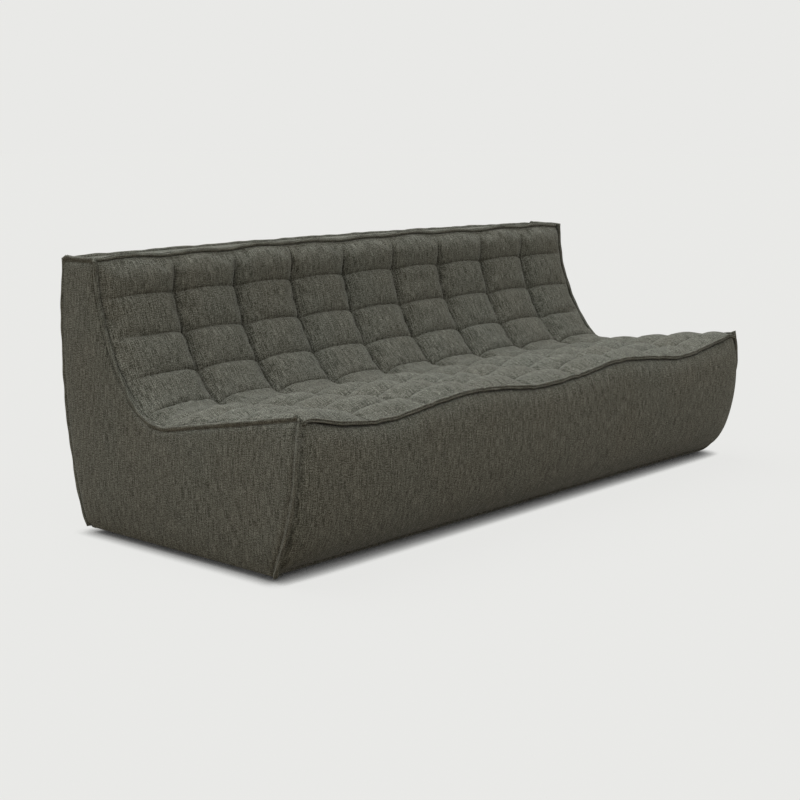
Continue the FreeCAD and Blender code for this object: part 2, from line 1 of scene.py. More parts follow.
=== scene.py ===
import bmesh
import bpy
import numpy as np
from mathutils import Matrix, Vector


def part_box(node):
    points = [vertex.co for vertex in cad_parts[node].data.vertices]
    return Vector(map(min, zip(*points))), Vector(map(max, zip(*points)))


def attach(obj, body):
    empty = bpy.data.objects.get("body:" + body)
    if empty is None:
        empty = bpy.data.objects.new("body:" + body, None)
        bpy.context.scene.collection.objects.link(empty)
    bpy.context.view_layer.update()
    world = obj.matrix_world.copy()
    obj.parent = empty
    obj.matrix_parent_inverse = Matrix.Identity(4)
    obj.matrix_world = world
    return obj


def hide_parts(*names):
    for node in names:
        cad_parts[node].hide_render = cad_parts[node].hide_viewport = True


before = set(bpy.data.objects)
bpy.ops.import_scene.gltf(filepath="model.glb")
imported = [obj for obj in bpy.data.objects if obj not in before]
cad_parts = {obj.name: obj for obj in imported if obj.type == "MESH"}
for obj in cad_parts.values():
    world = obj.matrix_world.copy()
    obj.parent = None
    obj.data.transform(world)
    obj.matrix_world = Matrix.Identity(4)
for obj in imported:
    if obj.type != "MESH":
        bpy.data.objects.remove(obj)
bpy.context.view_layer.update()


# Plywood frames and front panel
# Two ends, two ribs and the panel behind the front foam, sawn from 18 mm birch plywood.
# The broad faces show a rotary-cut grain and the sawn edges show the plies as stripes.


class Wire:
    """One socket of a node tree. Python arithmetic on it adds Math nodes."""

    def __init__(self, tree, socket=None):
        self.tree = tree
        self.socket = socket

    def fill(self, made, sockets):
        """Sets each named socket of a node to a value, or links a wire to it."""
        for name, given in sockets.items():
            if isinstance(given, Wire):
                self.tree.links.new(given.socket, made.inputs[name])
            else:
                made.inputs[name].default_value = given

    def node(self, kind, settings=None, sockets=None, output=0):
        """Adds a node: its settings first, then its sockets; gives the wire of one output."""
        made = self.tree.nodes.new(kind)
        for name, setting in (settings or {}).items():
            if name == "stops":
                ramp = made.color_ramp.elements
                while len(ramp) < len(setting):
                    ramp.new(0.5)
                for stop, (place, colour) in zip(ramp, setting):
                    stop.position = place
                    stop.color = (*colour, 1)
            else:
                setattr(made, name, setting)
        self.fill(made, sockets or {})
        return Wire(self.tree, made.outputs[output])

    def maths(self, operation, *values):
        """Math node on the values given, or on this wire alone."""
        return self.node("ShaderNodeMath", {"operation": operation}, dict(enumerate(values or (self,))))

    def __add__(self, other):
        return self.maths("ADD", self, other)

    __radd__ = __add__

    def __mul__(self, other):
        return self.maths("MULTIPLY", self, other)

    __rmul__ = __mul__

    def __sub__(self, other):
        return self.maths("SUBTRACT", self, other)

    def __rsub__(self, other):
        return self.maths("SUBTRACT", other, self)

    def __pow__(self, other):
        return self.maths("POWER", self, other)

    def __rpow__(self, other):
        return self.maths("POWER", other, self)

    def wave(self, pitch):
        """Sine wave of this length, one turn for each pitch in metres."""
        return (self * (2 * np.pi / pitch)).maths("SINE")

    def mix(self, low, high):
        """Colour that goes from low to high as this value goes from 0 to 1."""
        ends = [(*end, 1) if isinstance(end, tuple) else end for end in (low, high)]
        return self.node("ShaderNodeMix", {"data_type": "RGBA"}, {0: self, 6: ends[0], 7: ends[1]}, 2)

    def stretch(self, *scales):
        """Coordinates multiplied by one scale for each axis."""
        return self.node("ShaderNodeVectorMath", {"operation": "MULTIPLY"}, {0: self, 1: scales})

    def noise(self, scales, detail=3.0, rough=0.55):
        """Cloudy value about 0.5, at so many lumps to the metre along each axis."""
        return self.node("ShaderNodeTexNoise", None, {
            "Vector": self.stretch(*scales), "Scale": 1.0, "Detail": detail, "Roughness": rough})

    def axis(self, index):
        """One coordinate of a vector."""
        return self.node("ShaderNodeSeparateXYZ", None, {0: self}, index)

    def bump(self, distance, strength=1.0):
        """Surface normal of this height, where 1 stands for a distance in metres."""
        return self.node("ShaderNodeBump", None, {"Strength": strength, "Distance": distance, "Height": self})


def new_finish(name, coordinates="Object"):
    """Material with one Principled shader; gives it, the shader and the wire of its coordinates."""
    finish = bpy.data.materials.new(name)
    finish.use_nodes = True
    tree = finish.node_tree
    return finish, tree.nodes["Principled BSDF"], Wire(tree).node("ShaderNodeTexCoord", output=coordinates)


def dress(finish, *nodes):
    """Puts a finish on the slots of CAD nodes."""
    for name in nodes:
        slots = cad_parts[name].data.materials
        if not slots:
            slots.append(finish)
        for index in range(len(slots)):
            slots[index] = finish


PLY_PITCH = 0.0014


def plywood(name, across, grain):
    """Birch plywood whose plies lie across one axis: grain on the faces, stripes on the sawn edges."""
    finish, shader, place = new_finish(name)
    figure = place.noise(grain, 5.0, 0.6)
    face = figure.mix((0.50, 0.34, 0.19), (0.72, 0.56, 0.37))
    ply = place.axis(across).wave(PLY_PITCH) * 0.5 + 0.5
    edge = ply.mix((0.33, 0.20, 0.10), (0.66, 0.49, 0.31))
    facing = place.node("ShaderNodeNewGeometry", output="True Normal").axis(across)
    colour = facing.maths("ABSOLUTE").mix(edge, face)
    place.fill(shader, {"Base Color": colour, "Roughness": figure * 0.2 + 0.5,
                        "Normal": (figure + ply * 0.3).bump(0.0004, 0.5)})
    return finish


dress(plywood("birch_plywood_frames", 0, (9.0, 60.0, 6.0)), "left_end_frame", "left_rib", "right_rib",
      "right_end_frame")
dress(plywood("birch_plywood_panel", 1, (6.0, 60.0, 60.0)), "front_panel")


# Rails and glue blocks
# Planed softwood rails along the width, housed and glued into the frames, with blocks in the end corners.
# The grain runs along the rails, in bands of pale early wood and darker late wood.
pine, pine_shader, pine_place = new_finish("planed_pine")
ring_bend = pine_place.noise((1.5, 12.0, 12.0), 2.0)
ring_span = pine_place.axis(2) * 260.0 + pine_place.axis(1) * 190.0 + ring_bend * 9.0
late_wood = ring_span.maths("SINE") * 0.5 + 0.5
fibre = pine_place.noise((8.0, 420.0, 420.0), 3.0)
pine_colour = (late_wood ** 3.0).mix((0.66, 0.47, 0.27), (0.47, 0.28, 0.12))
pine_place.fill(pine_shader, {"Base Color": (fibre * 0.35).mix(pine_colour, (0.74, 0.58, 0.38)),
                              "Roughness": fibre * 0.2 + 0.52, "Normal": fibre.bump(0.0003, 0.6)})
CORNER_BLOCKS = [f"corner_block_{end}_{side}" for end in ("front", "rear") for side in ("left", "right")]
dress(pine, "front_seat_rail", "rear_seat_rail", "lumbar_rail", "top_rail", "front_sole_rail",
      "rear_sole_rail", *CORNER_BLOCKS)


# Back boards
# Thin hardboard bent to the curve of the back, one inside and one outside, pinned to the frames.
# Pressed wood fibre: a brown sheet with a faint felted mottle.
hardboard, hardboard_shader, hardboard_place = new_finish("pressed_hardboard")
felt = hardboard_place.noise((300.0, 300.0, 300.0), 4.0, 0.7)
mottle = hardboard_place.noise((14.0, 14.0, 14.0), 3.0)
hardboard_place.fill(hardboard_shader, {
    "Base Color": (felt * 0.6 + mottle * 0.4).mix((0.14, 0.075, 0.035), (0.34, 0.21, 0.11)),
    "Roughness": mottle * 0.25 + 0.5, "Normal": felt.bump(0.0003, 0.5)})
dress(hardboard, "inner_back_board", "outer_back_board")


# Seat straps
# Rubber and polypropylene webbing, sixteen straps from front to rear over three along the width.
# Ribbed weave in near-black with a pale stripe along each edge.
STRAP_PITCH, FIRST_STRAP = 2.1 / 18, -0.875
CROSS_PITCH, FIRST_CROSS = 0.098, -0.1
STRIPE_PLACE, STRIPE_HALF = 0.021, 0.0025
RIB_PITCH = 0.00217


def webbing(name, along, pitch, first):
    """Webbing that runs along one axis: ribs across it and two pale stripes, repeated at a pitch."""
    finish, shader, place = new_finish(name)
    over = (place.axis(1 - along) - first) * (1 / pitch) + 0.5
    across = (over.maths("FRACT") - 0.5) * pitch
    reach = across.maths("ABSOLUTE")
    stripe = reach.maths("COMPARE", reach, STRIPE_PLACE, STRIPE_HALF)
    rib = place.axis(along).wave(RIB_PITCH) * 0.5 + 0.5
    lint = place.noise((700.0, 700.0, 700.0))
    dark = lint.mix((0.020, 0.020, 0.022), (0.062, 0.060, 0.058))
    place.fill(shader, {"Base Color": stripe.mix(dark, (0.30, 0.28, 0.24)), "Roughness": lint * 0.2 + 0.65,
                        "Normal": (rib + lint * 0.4).bump(0.0006, 0.7)})
    return finish


dress(webbing("webbing_lengthwise", 1, STRAP_PITCH, FIRST_STRAP), "seat_straps")
dress(webbing("webbing_crosswise", 0, CROSS_PITCH, FIRST_CROSS), "cross_straps")


# Foam blocks
# Cut polyurethane foam glued to the frame: three seat blocks, a lumbar wedge, and back, top and front sheets.
# A cream open-cell foam, yellowed a little, with the small pits of its cells.


def foam(name, fresh, aged):
    """Open-cell foam: a cream mottle with pits a millimetre across."""
    finish, shader, place = new_finish(name)
    cells = place.node("ShaderNodeTexVoronoi", None, {"Vector": place, "Scale": 950.0})
    mottle = place.noise((11.0, 11.0, 11.0), 3.0)
    place.fill(shader, {"Base Color": (mottle * 0.7 + cells * 0.5).mix(fresh, aged),
                        "Roughness": mottle * 0.1 + 0.85, "Normal": cells.bump(0.0006, 0.6)})
    return finish


seat_foam = foam("seat_foam", (0.66, 0.62, 0.48), (0.50, 0.43, 0.27))
sheet_foam = foam("sheet_foam", (0.70, 0.67, 0.57), (0.58, 0.52, 0.38))
SEAT_FOAMS = ("seat_foam_left", "seat_foam_centre", "seat_foam_right")
SHEET_FOAMS = ("lumbar_foam", "back_foam", "top_foam", "front_foam")
dress(seat_foam, *SEAT_FOAMS)
dress(sheet_foam, *SHEET_FOAMS)


# Side foams
# A sheet of foam glued over each plywood end, cut to the outline of the end and rounded by the cover.
# The outline is the sofa's section: front arc, raked seat, bend, back arc, level top and rear arc.
HALF_WIDTH, HALF_DEPTH, TOP, SEAT_FRONT = 1.05, 0.455, 0.760, 0.428
RAKE = np.radians(10.3)
BACK_Y, BACK_Z, BACK_R = -0.259, TOP, 0.558
BEND_R = 0.152
FRONT_Z, FRONT_R = 0.326, 0.577
FRONT_Y = FRONT_R - HALF_DEPTH
REAR_Z, REAR_R = 0.505, 1.74
REAR_Y = HALF_DEPTH - REAR_R
SEAT_REACH = SEAT_FRONT * np.cos(RAKE) - HALF_DEPTH * np.sin(RAKE)
# The bend touches the seat line and, from inside, the back arc, so its centre is a bend radius above the seat
# and the difference of the two radii from the back's centre: seat_run is the root of that quadratic.
lead = np.array([BEND_R * np.sin(RAKE) - HALF_DEPTH - BACK_Y, BEND_R * np.cos(RAKE) + SEAT_FRONT - BACK_Z])
ahead = lead @ [np.cos(RAKE), -np.sin(RAKE)]
seat_run = np.sqrt(ahead ** 2 - lead @ lead + (BACK_R - BEND_R) ** 2) - ahead
BEND_Y, BEND_Z = BACK_Y + lead[0] + seat_run * np.cos(RAKE), BACK_Z + lead[1] - seat_run * np.sin(RAKE)
BACK_TURN = np.arctan2(BACK_Z - BEND_Z, BEND_Y - BACK_Y)
BACK_RUN = BACK_R * BACK_TURN
BEND_RUN = BEND_R * (np.pi / 2 + RAKE - BACK_TURN)
SITTING_RUN = BACK_RUN + BEND_RUN + seat_run


def sitting_line(down, inset=0.0):
    """Depth, height and the normal towards the sitter, at a distance down the seat-and-back curve:
    an arc of the back, an arc of the bend, then the straight seat, all moved into the sofa by inset."""
    on_back = down < BACK_RUN
    bend = np.maximum(-BACK_TURN - (down - BACK_RUN) / BEND_R, -np.pi / 2 - RAKE)
    turn = np.where(on_back, -down / BACK_R, bend)
    over = np.maximum(down - BACK_RUN - BEND_RUN, 0)
    radius = np.where(on_back, BACK_R, BEND_R) + inset
    y = np.where(on_back, BACK_Y, BEND_Y) + radius * np.cos(turn) - over * np.cos(RAKE)
    z = np.where(on_back, BACK_Z, BEND_Z) + radius * np.sin(turn) + over * np.sin(RAKE)
    return y, z, -np.cos(turn), -np.sin(turn)


def front_depth(height, inset=0.0):
    """Depth of the front arc at a height."""
    return FRONT_Y - np.sqrt((FRONT_R - inset) ** 2 - (height - FRONT_Z) ** 2)


def rear_depth(height, inset=0.0):
    """Depth of the rear arc at a height."""
    return REAR_Y + np.sqrt((REAR_R - inset) ** 2 - (height - REAR_Z) ** 2)


def end_seam(y, z):
    """Half width at the seam round an end: full at the back; near the front edge it bows out a little and is
    drawn in by exponentials, hard at the front top corner and less along the floor."""
    corner = 0.033 * np.exp(-np.abs(SEAT_FRONT - z) / 0.07)
    behind = np.maximum(y - front_depth(np.clip(z, 0, SEAT_FRONT)), 0)
    floor = 0.011 * np.exp(-np.maximum(z - 0.018, 0) / 0.05)
    return HALF_WIDTH - 0.004 + (0.007 - corner - 0.5 * floor) * np.exp(-behind / 0.12) - floor


def seat_corner(sunk, edge):
    """Where the seat line, sunk below the skin, meets the front arc set in from it: depth, height and the
    distance down the sitting line, found by putting the arc's depth into the line nine times over."""
    z = SEAT_FRONT
    for _ in range(9):
        z = (SEAT_REACH - sunk - front_depth(z, edge) * np.sin(RAKE)) / np.cos(RAKE)
    y = front_depth(z, edge)
    over = (BEND_Y - (BEND_R + sunk) * np.sin(RAKE) - y) / np.cos(RAKE)
    return y, z, BACK_RUN + BEND_RUN + over


def top_distance(sunk, edge):
    """Distance down the sitting line, sunk below the skin, where it is an edge's depth below the top."""
    return BACK_R * np.arcsin(edge / (BACK_R + sunk))


SEAM = 0.010
TOP_SEAM = 0.750
FLOOR_GAP = 0.014


def blend_patch(first, last, start, stop):
    """Points between four edges, each an array along its edge: the sum of the two ruled surfaces
    less the twisted plane through the four corners."""
    along = np.linspace(0, 1, len(first))[:, None, None]
    across = np.linspace(0, 1, len(start))[None, :, None]
    ruled = (1 - across) * first[:, None] + across * last[:, None]
    ruled = ruled + (1 - along) * start[None] + along * stop[None]
    plane = (1 - across) * ((1 - along) * first[0] + along * first[-1])
    return ruled - plane - across * ((1 - along) * last[0] + along * last[-1])


def end_outline(long, deep, bottom, sunk, edge):
    """Depth and height over an end panel: one edge runs up the sitting line, the opposite one runs back along
    the floor and up the rear arc, and the other two are the front arc and the top. Also gives the number of
    the first step that runs up the rear."""
    part = np.linspace(0, 1, long)
    _, corner, start = seat_corner(sunk, edge)
    inner = np.stack(sitting_line(start + part * (top_distance(sunk, edge) - start), sunk)[:2], 1)
    floor_share = 0.52
    floor_front, floor_rear = front_depth(bottom, edge), rear_depth(bottom, edge)
    along_floor = np.clip(part / floor_share, 0, 1)
    up_rear = np.clip((part - floor_share) / (1 - floor_share), 0, 1)
    height = bottom + up_rear * (TOP - edge - bottom)
    outer_y = np.where(part < floor_share, floor_front + along_floor * (floor_rear - floor_front),
                       rear_depth(height, edge))
    outer = np.stack([outer_y, height], 1)
    down = np.linspace(0, 1, deep)
    rise = corner + down * (bottom - corner)
    front = np.stack([front_depth(rise, edge), rise], 1)
    top = inner[-1] + down[:, None] * (outer[-1] - inner[-1])
    return blend_patch(inner, outer, front, top), int(floor_share * (long - 1)) + 1


def swell(rows, columns, power):
    """Rise from the four edges of a grid to 1 in the middle: two half waves multiplied, raised to a power."""
    down = np.sin(np.pi * np.linspace(0, 1, rows))[:, None]
    across = np.sin(np.pi * np.linspace(0, 1, columns))[None]
    return np.clip(down * across, 0, 1) ** power


def unit(vectors):
    """Vectors the same way, of length 1."""
    return vectors / np.linalg.norm(vectors, axis=-1, keepdims=True)


def grid_faces(rows, columns):
    """Quads between neighbouring points of a grid numbered row by row."""
    first = (np.arange(rows - 1)[:, None] * columns + np.arange(columns - 1)).ravel()
    return np.stack([first, first + 1, first + columns + 1, first + columns], 1)


def rim_faces(rows, columns, other):
    """Quads that join the border of a grid to the border of a like grid numbered from other."""
    top = np.arange(columns)
    left = np.arange(rows) * columns
    border = np.concatenate([top[:-1], left[:-1] + columns - 1, (left[-1] + top)[:0:-1], left[:0:-1]])
    ahead = np.roll(border, -1)
    return np.stack([border, border + other, ahead + other, ahead], 1)


def face_outward(mesh):
    """Turns the faces of a closed mesh outward."""
    shell = bmesh.new()
    shell.from_mesh(mesh)
    bmesh.ops.recalc_face_normals(shell, faces=shell.faces)
    shell.to_mesh(mesh)
    shell.free()


def new_piece(name, parts, finishes, outward=None):
    """Mesh object from parts, each points, faces, UV in metres and the number of its finish; a closed mesh
    has its normals recalculated, and an open one is turned to face outward."""
    counts = np.cumsum([0] + [len(part[0]) for part in parts])
    points = np.concatenate([np.reshape(part[0], (-1, 3)) for part in parts])
    faces = [list(face + count) for part, count in zip(parts, counts) for face in part[1]]
    mesh = bpy.data.meshes.new(name)
    mesh.from_pydata(points.tolist(), [], faces)
    corners = np.empty(len(mesh.loops), int)
    mesh.loops.foreach_get("vertex_index", corners)
    flat = np.concatenate([np.reshape(part[2], (-1, 2)) for part in parts])
    mesh.uv_layers.new(name="weave").data.foreach_set("uv", flat[corners].astype(np.float32).ravel())
    chosen = np.concatenate([np.full(len(part[1]), part[3]) for part in parts])
    for finish in finishes:
        mesh.materials.append(finish)
    mesh.polygons.foreach_set("material_index", chosen.astype(np.int32))
    mesh.polygons.foreach_set("use_smooth", np.ones(len(mesh.polygons), bool))
    mesh.update()
    if outward is None:
        face_outward(mesh)
    else:
        sizes = np.empty(len(mesh.polygons))
        ways = np.empty(len(mesh.polygons) * 3)
        mesh.polygons.foreach_get("area", sizes)
        mesh.polygons.foreach_get("normal", ways)
        if (ways.reshape(-1, 3) * sizes[:, None]).sum(0) @ np.array(outward) < 0:
            mesh.flip_normals()
    piece = bpy.data.objects.new(name, mesh)
    bpy.context.scene.collection.objects.link(piece)
    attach(piece, "root")
    return piece


CORNER_LIFT = 0.014


def drawn_up(side, y, z):
    """Lift of the right end's front bottom corner, where the covers are pulled under: it falls off as an
    exponential behind the corner and straight to nothing 60 mm above the floor."""
    behind = np.exp(-np.maximum(y + 0.36, 0) / 0.03)
    return CORNER_LIFT * (side > 0) * behind * np.clip((0.06 - z) / 0.03, 0, 1)


ENDS = ("left", -1), ("right", 1)
FOAM_GRID = 61, 25
FRAME_FACE = 1.0205
foam_yz, _ = end_outline(*FOAM_GRID, bottom=0.020, sunk=0.050, edge=0.018)
foam_y, foam_z = foam_yz[..., 0], foam_yz[..., 1]
foam_x = end_seam(foam_y, foam_z) - 0.0045 + 0.006 * swell(*FOAM_GRID, 0.7)
foam_faces = grid_faces(*FOAM_GRID)
foam_faces = np.concatenate([foam_faces, foam_faces + foam_x.size, rim_faces(*FOAM_GRID, foam_x.size)])
for name, side in ENDS:
    lifted_z = foam_z + drawn_up(side, foam_y, foam_z)
    outer = np.stack([side * foam_x, foam_y, lifted_z], -1)
    inner = np.stack([np.full_like(foam_x, side * FRAME_FACE), foam_y, lifted_z], -1)
    slab = np.concatenate([outer, inner]).reshape(-1, 3)
    piece = new_piece(name + "_end_foam", [(slab, foam_faces, slab[:, 1:], 0)], [sheet_foam])
    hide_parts(name + "_side_foam")


# Tufted pad
# One quilted cover over wadding and foam, from the top of the back to the seat front, sewn in nine columns
# and nine rows; the crossings are drawn down hard and the cells swell between the seams.
COLUMNS = 9
ROWS = 9
WEAVE_PITCH = 0.0036


def moss_linen():
    """Linen-look upholstery cloth: plain weave of mixed moss, grey and brown yarns with slubs along the warp,
    faintly mottled; UV is in metres, across and along the warp."""
    finish, shader, place = new_finish("moss_linen", "UV")
    warp = place.noise((520.0, 30.0, 1.0), 2.0, 0.6)
    weft = place.noise((60.0, 520.0, 1.0), 2.0, 0.6)
    slub = place.noise((150.0, 9.0, 1.0), 2.0, 0.6)
    fleck = place.noise((360.0, 420.0, 1.0), 3.0, 0.7)
    cloud = place.noise((5.0, 3.2, 1.0), 3.0, 0.5)
    yarn = warp * 0.7 + weft * 0.6 + fleck * 1.4 + slub * 0.2
    tone = (yarn - 1.45) * 2.5 + 0.41
    green = tone.node("ShaderNodeValToRGB", {"stops": [
        (0.0, (0.046, 0.048, 0.038)), (0.42, (0.140, 0.143, 0.121)), (1.0, (0.35, 0.36, 0.32))]}, {0: tone})
    brown = tone.node("ShaderNodeValToRGB", {"stops": [
        (0.0, (0.048, 0.046, 0.035)), (0.42, (0.145, 0.140, 0.115)), (1.0, (0.35, 0.345, 0.30))]}, {0: tone})
    hue = (cloud - 0.5) * 1.6 + (slub - 0.5) * 0.6 + 0.5
    weave = place.axis(0).wave(WEAVE_PITCH) * place.axis(1).wave(WEAVE_PITCH)
    height = weave * 0.5 + yarn * 0.6
    place.fill(shader, {
        "Base Color": hue.mix(green, brown), "Roughness": fleck * 0.12 + 0.84, "Specular IOR Level": 0.1,
        "Sheen Weight": 0.22, "Sheen Roughness": 0.35, "Sheen Tint": (0.90, 0.92, 0.90, 1),
        "Normal": height.bump(0.0007, 0.7)})
    return finish


linen = moss_linen()


def front_seam(x):
    """Height of the seat-front seam with its three sags: a cubic between each two knots, whose slopes come
    from the knots on either side."""
    knots = np.array([-1.06, -1.026, -0.95, -0.86, -0.72, -0.56, -0.38, -0.22, -0.06, 0.14, 0.36, 0.52, 0.67,
                      0.83, 0.95, 1.026, 1.06])
    level = np.array([0.434, 0.4265, 0.4075, 0.389, 0.380, 0.394, 0.4085, 0.398, 0.385, 0.396, 0.413, 0.400,
                      0.386, 0.3985, 0.416, 0.4285, 0.435])
    slope = np.gradient(level, knots)
    spot = np.clip(np.searchsorted(knots, x) - 1, 0, len(knots) - 2)
    step = knots[spot + 1] - knots[spot]
    part = np.clip((x - knots[spot]) / step, 0, 1)
    rest = 1 - part
    return (level[spot] * rest ** 2 * (1 + 2 * part) + slope[spot] * step * part * rest ** 2
            + level[spot + 1] * part ** 2 * (1 + 2 * rest) - slope[spot + 1] * step * rest * part ** 2)


TOP_HALF = 1.042


def top_wave(x):
    """Rise of the top edge: a parabola along the width, a cosine ripple that dips at the column seams, and a
    slower sine."""
    column = (x / TOP_HALF + 1) * COLUMNS / 2
    crown = 0.008 * (1 - (x / HALF_WIDTH) ** 2)
    return crown - 0.0022 * np.cos(2 * np.pi * column) + 0.002 * np.sin(2 * np.pi * column / 2.6 + 1.0)


END_SHARE, END_COLUMN = 0.1194, 0.249
TOP_ROW = 0.100
COLUMN_SHARES = np.cumsum([0, END_SHARE, *[(1 - 2 * END_SHARE) / (COLUMNS - 2)] * (COLUMNS - 2), END_SHARE])
PAD_START = top_distance(0.0, SEAM)
row_tall = (SITTING_RUN - PAD_START - TOP_ROW) / (ROWS - 1)
ROW_STOPS = PAD_START + np.cumsum([0, TOP_ROW, *[row_tall] * (ROWS - 1)])
SETTLE_FROM, DRAWN_RUN = 0.60, 0.16


def bolster(distance, reach):
    """Quarter circle that rises steeply from 0 at a seam to 1 at its reach."""
    return np.sqrt(1 - (1 - np.clip(distance / reach, 0, 1)) ** 2)


def cell_of(count, cells):
    """The cell that a count falls in, and how far through it."""
    cell = np.minimum(np.floor(count), cells - 1).astype(int)
    return cell, count - cell


def within(count, cells):
    """1 over the middle cells, falling straight to 0 across the first and the last one."""
    return np.clip(count, 0, 1) * np.clip(cells - count, 0, 1)


def pad_sheet(across, down):
    """Points of the pad before quilting, and half its width. It follows the sitting line, with the row seams
    of the back arched up as parabolas. The seat settles evenly towards its wavy front seam, its last stretch
    is drawn back to that seam as a square, and the top edge's wave dies out as an exponential."""
    _, part_x = cell_of(across, COLUMNS)
    arch = 4 * part_x * (1 - part_x) * within(across, COLUMNS) * within(down, ROWS) * np.clip(5 - down, 0, 1)
    distance = np.interp(down, np.arange(ROWS + 1), ROW_STOPS) - 0.006 * arch
    y, z, _, _ = sitting_line(distance)
    half = end_seam(y, z) - 0.0078
    x = (2 * np.interp(across, np.arange(COLUMNS + 1), COLUMN_SHARES) - 1) * half
    seam_z = front_seam(x)
    settled = np.clip((distance - SETTLE_FROM) / (SITTING_RUN - SETTLE_FROM), 0, 1)
    drawn = np.clip((distance - SITTING_RUN) / DRAWN_RUN + 1, 0, 1) ** 2
    y = y + drawn * (front_depth(seam_z, 0.009) + HALF_DEPTH)
    z = z - settled * (SEAT_FRONT - seam_z) + top_wave(x) * np.exp(-(distance - PAD_START) / 0.07)
    return np.stack([x, y, z], -1), half


def quilting(across, down, half, crown, groove):
    """Rise of the quilted face. A point is mixed between its cell's pillow and its seams' levels by its share
    of each valley, which is 1 less a power of a quarter circle of its distance from the seam. Seat cells are
    higher and rounder, the last row and the seat's right end column are lower, and the levels rise as quarter
    circles between crossings. Row seams fade before the ends and column seams towards the top. The ends sink
    to the welts as quarter circles. Exponentials make a groove beside each seam and a pinch at crossings."""
    (column, part_x), (row, part_y) = cell_of(across, COLUMNS), cell_of(down, ROWS)
    inside = within(down, ROWS)
    seat = np.clip((down - 4.5) / 1.5, 0, 1)
    nearer = np.minimum(part_x, 1 - part_x)
    nearer = np.where(column == 0, 1 - part_x, np.where(column == COLUMNS - 1, part_x, nearer))
    from_column = nearer * 2 * half * np.diff(COLUMN_SHARES)[column]
    tall = np.diff(ROW_STOPS)[row]
    above, below = part_y * tall, (1 - part_y) * tall
    from_row = np.minimum(above, below)
    to_end = np.minimum(across, COLUMNS - across) * END_COLUMN
    round_y = 0.045 + 0.013 * seat
    fill_y = np.minimum(bolster(above, round_y), bolster(below, np.where(row == ROWS - 1, 0.075, round_y)))
    fade = np.clip((to_end - 0.03 + 0.028 * seat) / (0.075 - 0.04 * seat), 0, 1) * (inside > 0)
    valley_y = (1 - fill_y ** (1.8 + 0.7 * seat)) * np.where(inside < 0.5, 1, fade)
    valley_x = 1 - bolster(from_column, 0.055 + 0.060 * seat) ** (1 + 0.5 * seat)
    valley_x = valley_x * np.where(row == 0, part_y ** 0.8, 1)
    each = 1 + 0.06 * np.sin(12.9 * column + 4.1 * row) + 0.05 * np.sin(3.7 * column - 8.3 * row)
    pillow = (crown + 0.012 * seat) * each * np.where(row == ROWS - 1, 0.75, 1)
    pillow = pillow * (1 - 0.25 * seat * (column == COLUMNS - 1))
    row_level = (0.006 + (0.019 - 0.016 * seat) * bolster(from_column, 0.07)) * inside
    column_level = 0.003 * bolster(from_row, 0.05) * inside
    rise = (1 - valley_x) * (pillow * (1 - valley_y) + row_level * valley_y)
    rise += valley_x * (column_level * (1 - valley_y) + 0.002 * inside * valley_y)
    rise = rise * bolster(to_end, 0.15) - 0.012 * (1 - bolster(to_end, 0.05)) - 0.003 * np.exp(-down / 0.1)
    sewn_x = np.exp(-from_column / 0.006) * np.clip(down, 0, 1) * np.clip((ROWS - down) * 4, 0.25, 1)
    sewn_y = np.exp(-from_row / 0.003) * (inside > 0.02) * fade
    pinch = np.exp(-np.hypot(from_column, from_row) / 0.014) * (inside > 0.02)
    return rise - groove * (np.maximum(sewn_x, (0.35 + 0.4 * seat) * sewn_y) + 0.35 * pinch)


def tufted_surface(across, down, crown, groove):
    """Points of the quilted face at column and row counts: the pad's sheet moved along its normals."""
    sheet, half = pad_sheet(across, down)
    facing = unit(np.cross(np.gradient(sheet, axis=0), np.gradient(sheet, axis=1)))
    return sheet + facing * quilting(across, down, half, crown, groove)[..., None]


PAD_DEEP, UNDER_EDGE, UNDER_SHORT = 0.047, 0.018, 0.055


def pad_shell(face):
    """Points and faces of the closed pad: the quilted face, a smooth underside with a point below each of its
    points, and the walls between them."""
    rows, columns = face.shape[:2]
    start = top_distance(PAD_DEEP, UNDER_EDGE)
    distance = start + (SITTING_RUN - UNDER_SHORT - start) * np.linspace(0, 1, rows)[:, None]
    y, z, _, _ = sitting_line(distance + 0 * face[..., 0], PAD_DEEP)
    under = np.stack([face[..., 0], y, z], -1)
    count = rows * columns
    faces = np.concatenate([grid_faces(rows, columns), grid_faces(rows, columns) + count,
                            rim_faces(rows, columns, count)])
    return np.concatenate([face, under]).reshape(-1, 3), faces


SWELL_STEPS, SWELL_LIMIT = 20, 0.010


